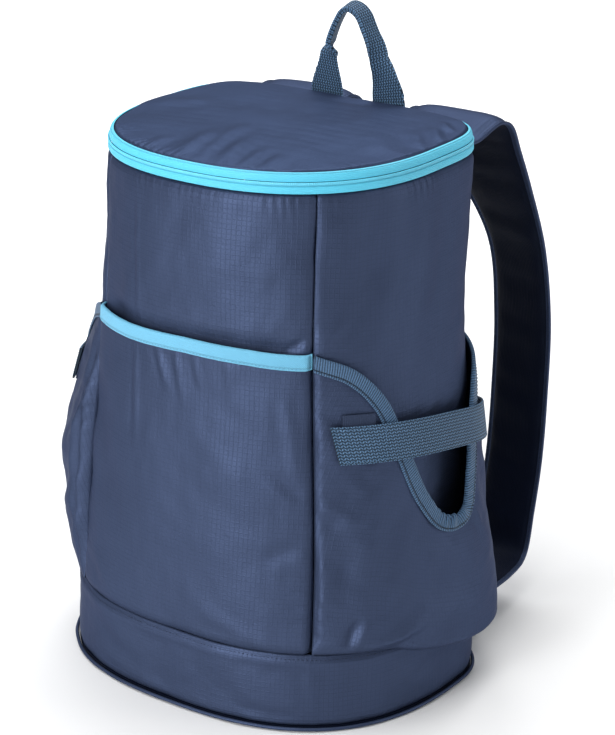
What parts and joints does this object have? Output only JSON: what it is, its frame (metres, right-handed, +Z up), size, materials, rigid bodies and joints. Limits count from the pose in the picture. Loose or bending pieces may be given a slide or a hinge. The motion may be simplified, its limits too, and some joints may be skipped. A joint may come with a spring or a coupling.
{
  "type": "cooler backpack",
  "caption": "Soft insulated cooler backpack with a zipped lid, open front and side pockets, a haul loop and two padded shoulder straps, standing on its flat base.",
  "frame": {"origin": "on the floor at the middle of the flat base's underside, where the base's width is greatest", "axes": "+X to the right as one faces the pack's front, -Y out of its front, +Y out of the side worn against the back, +Z up"},
  "size_m": [0.3503, 0.3605, 0.4872],
  "materials": {
    "ripstop": "fine ripstop weave, slight satin sheen",
    "lid_cloth": "fine plain weave, slight satin sheen",
    "back_cloth": "matt woven",
    "piping": "matt cord",
    "zip_tape": "fine ribbed tape",
    "zip_teeth": "fine nylon coil",
    "slider_metal": "satin",
    "light_binding": "twill tape",
    "dark_binding": "ribbed tape",
    "webbing": "coarse plain-woven webbing",
    "grip_cloth": "matt pile",
    "strap_cloth": "matt woven, lightly padded"
  },
  "bodies": {
    "root": {"front_panel": "ripstop", "side_panel_right": "ripstop", "side_panel_left": "ripstop", "base_band": "ripstop", "front_pocket": "ripstop", "side_pocket_right": "ripstop", "side_pocket_left": "ripstop", "lid_panel": "lid_cloth", "back_panel": "back_cloth", "bottom_panel": "back_cloth", "base_piping": "piping", "zip_tape_lower": "zip_tape", "zip_tape_upper": "zip_tape", "zip_teeth": "zip_teeth", "zip_slider": "slider_metal", "front_pocket_binding": "light_binding", "side_pocket_binding_right": "dark_binding", "side_pocket_binding_left": "dark_binding", "haul_loop": "webbing", "side_strap_right": "webbing", "side_strap_left": "webbing", "strap_tab_right": "webbing", "strap_tab_left": "webbing", "grip_patch_right": "grip_cloth", "grip_patch_left": "grip_cloth", "shoulder_strap_right": "strap_cloth", "shoulder_strap_left": "strap_cloth"}
  },
  "joints": []
}
